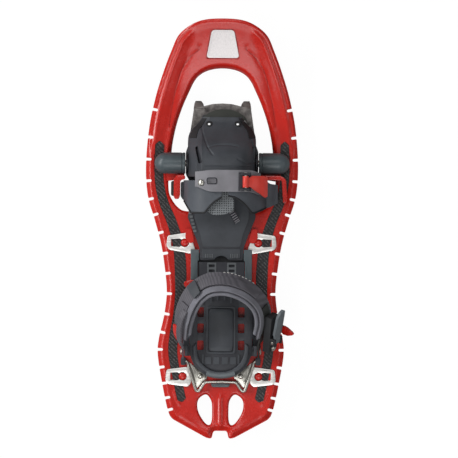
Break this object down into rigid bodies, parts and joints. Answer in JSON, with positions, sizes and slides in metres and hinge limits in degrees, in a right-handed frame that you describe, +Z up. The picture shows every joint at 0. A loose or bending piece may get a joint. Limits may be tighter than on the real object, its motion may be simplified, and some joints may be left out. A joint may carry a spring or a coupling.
{
  "type": "snowshoe",
  "caption": "Moulded snowshoe for one boot: waisted flexible deck with carbon inlays, steel crampons, pivoting toe binding, sliding heel plate, ratchet ankle strap and folding heel lifter.",
  "frame": {"origin": "middle of the overall box on the ground, under the deck, at the tips of the crampon teeth", "axes": "+Y from tail to nose, +X to the outer side of the foot, where the buckles are, +Z up"},
  "size_m": [0.214, 0.59, 0.1075],
  "materials": {
    "red_plastic": "semi-gloss moulded",
    "badge_silver": "silver lacquer",
    "carbon_weave": "twill weave under resin",
    "bright_steel": "polished",
    "dull_steel": "satin",
    "crampon_steel": "worn coating",
    "grey_plastic": "satin",
    "dark_plastic": "fine texture",
    "slate_plastic": "fine texture",
    "strap_plastic": "satin",
    "wing_cloth": "coated cloth",
    "band_plastic": "soft touch",
    "black_foam": "covered foam",
    "black_rubber": "moulded",
    "anchor_webbing": "satin"
  },
  "bodies": {
    "deck": {"deck": "red_plastic", "badge_plate": "badge_silver", "carbon_inlay_left": "carbon_weave", "carbon_inlay_right": "carbon_weave", "pivot_housing_left": "grey_plastic", "pivot_housing_right": "grey_plastic", "pivot_pin_left": "dull_steel", "pivot_pin_right": "dull_steel", "crampon_front_left": "bright_steel", "crampon_front_right": "bright_steel", "crampon_rear_left": "bright_steel", "crampon_rear_right": "bright_steel", "crampon_rivet_front_left": "red_plastic", "crampon_rivet_front_right": "red_plastic", "crampon_rivet_rear_left": "red_plastic", "crampon_rivet_rear_right": "red_plastic", "guide_plate_left": "dull_steel", "guide_plate_right": "dull_steel", "lifter_lug_left": "dark_plastic", "lifter_lug_right": "dark_plastic", "heel_bumper": "grey_plastic"},
    "binding": {"base_plate": "dark_plastic", "pivot_bush_left": "black_rubber", "pivot_bush_right": "black_rubber", "rail_left": "grey_plastic", "rail_right": "grey_plastic", "length_rack": "dark_plastic", "front_crampon": "crampon_steel", "toe_cap": "slate_plastic", "wing_left": "wing_cloth", "wing_right": "wing_cloth", "instep_tongue": "black_foam", "wing_clip_left": "red_plastic", "wing_clip_right": "red_plastic", "toe_strap": "strap_plastic", "strap_rivet": "dull_steel", "toe_buckle": "dark_plastic", "toe_buckle_pin": "dull_steel"},
    "toe_lever": {"toe_lever": "red_plastic"},
    "heel_carriage": {"heel_plate": "dark_plastic", "heel_cup": "grey_plastic", "heel_pad": "black_rubber", "ankle_rivet_left": "dull_steel", "ankle_rivet_right": "dull_steel"},
    "length_lock": {"length_lock_lever": "red_plastic"},
    "ankle_harness": {"ankle_band": "band_plastic", "ankle_pad": "black_foam", "anchor_strap_left": "anchor_webbing", "anchor_strap_right": "anchor_webbing", "ladder_strap": "strap_plastic", "strap_keeper": "dark_plastic", "strap_slider": "red_plastic", "ratchet_base": "black_rubber", "ratchet_pin": "dull_steel", "release_pin": "dull_steel", "ratchet_screw": "dull_steel"},
    "ratchet_lever": {"ratchet_lever": "grey_plastic"},
    "ratchet_release": {"ratchet_release": "red_plastic"},
    "heel_lifter": {"heel_lifter": "dull_steel"}
  },
  "joints": [
    {"name": "binding_pivot", "type": "hinge", "parent": "deck", "child": "binding", "pos_m": [0, 0.092, 0.034], "axis": [-1, 0, 0], "range_deg": [0, 75]},
    {"name": "toe_lever_hinge", "type": "hinge", "parent": "binding", "child": "toe_lever", "pos_m": [0.03331, 0.066, 0.09972], "axis": [0, -1, 0], "range_deg": [0, 115]},
    {"name": "heel_length_slide", "type": "slide", "parent": "binding", "child": "heel_carriage", "axis": [0, 1, 0], "range_m": [0, 0.03]},
    {"name": "length_lock_hinge", "type": "hinge", "parent": "heel_carriage", "child": "length_lock", "pos_m": [-0.038, -0.078, 0.0405], "axis": [0, 0, -1], "range_deg": [0, 50]},
    {"name": "ankle_swing", "type": "hinge", "parent": "heel_carriage", "child": "ankle_harness", "pos_m": [0, -0.172, 0.046], "axis": [1, 0, 0], "range_deg": [0, 35]},
    {"name": "ratchet_lever_hinge", "type": "hinge", "parent": "ankle_harness", "child": "ratchet_lever", "pos_m": [0.07706, -0.15626, 0.06839], "axis": [0.5691, 0.3503, -0.7439], "range_deg": [0, 70]},
    {"name": "ratchet_release_hinge", "type": "hinge", "parent": "ankle_harness", "child": "ratchet_release", "pos_m": [0.07667, -0.14341, 0.07414], "axis": [0.5691, 0.3503, -0.7439], "range_deg": [0, 15], "stiffness_Nm_per_rad": 0.05, "springref_deg": -5.73},
    {"name": "heel_lifter_hinge", "type": "hinge", "parent": "deck", "child": "heel_lifter", "pos_m": [0, -0.186, 0.029], "axis": [-1, 0, 0], "range_deg": [0, 95]}
  ]
}
